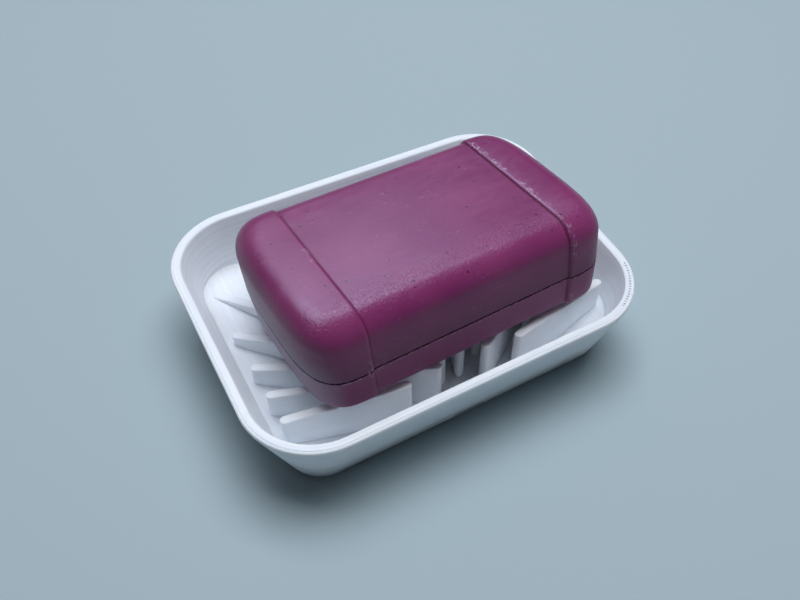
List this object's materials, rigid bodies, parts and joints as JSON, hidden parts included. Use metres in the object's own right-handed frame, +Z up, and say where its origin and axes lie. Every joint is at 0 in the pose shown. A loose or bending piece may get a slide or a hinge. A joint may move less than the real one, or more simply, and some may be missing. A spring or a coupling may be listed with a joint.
{
  "type": "soap dish",
  "caption": "Self-draining soap dish: a flared tray with rounded corners, a floor that falls to a drain in the front, a fan of leaning ribs, and the bar of soap that lies on them and lifts off.",
  "frame": {"origin": "on the surface that the dish stands on, under the middle of the dish", "axes": "+X along the dish, +Y to the back, away from the drain, +Z up"},
  "size_m": [0.12, 0.091, 0.0527],
  "materials": {
    "printed_plastic": "matte white printed plastic with fine layer lines",
    "soap": "waxy satin plum"
  },
  "bodies": {
    "dish": {"tray_shell": "printed_plastic", "drain_floor": "printed_plastic", "rib_01": "printed_plastic", "rib_02": "printed_plastic", "rib_03": "printed_plastic", "rib_04": "printed_plastic", "rib_05": "printed_plastic", "rib_06": "printed_plastic", "rib_07": "printed_plastic", "rib_08": "printed_plastic", "rib_09": "printed_plastic", "rib_10": "printed_plastic", "rib_11": "printed_plastic", "rib_12": "printed_plastic", "rib_13": "printed_plastic", "rib_14": "printed_plastic", "rib_15": "printed_plastic", "rib_16": "printed_plastic"},
    "soap": {"soap_bar": "soap"}
  },
  "joints": [
    {"name": "soap_lift", "type": "slide", "parent": "dish", "child": "soap", "axis": [0, 0, 1], "range_m": [0, 0.06]}
  ]
}
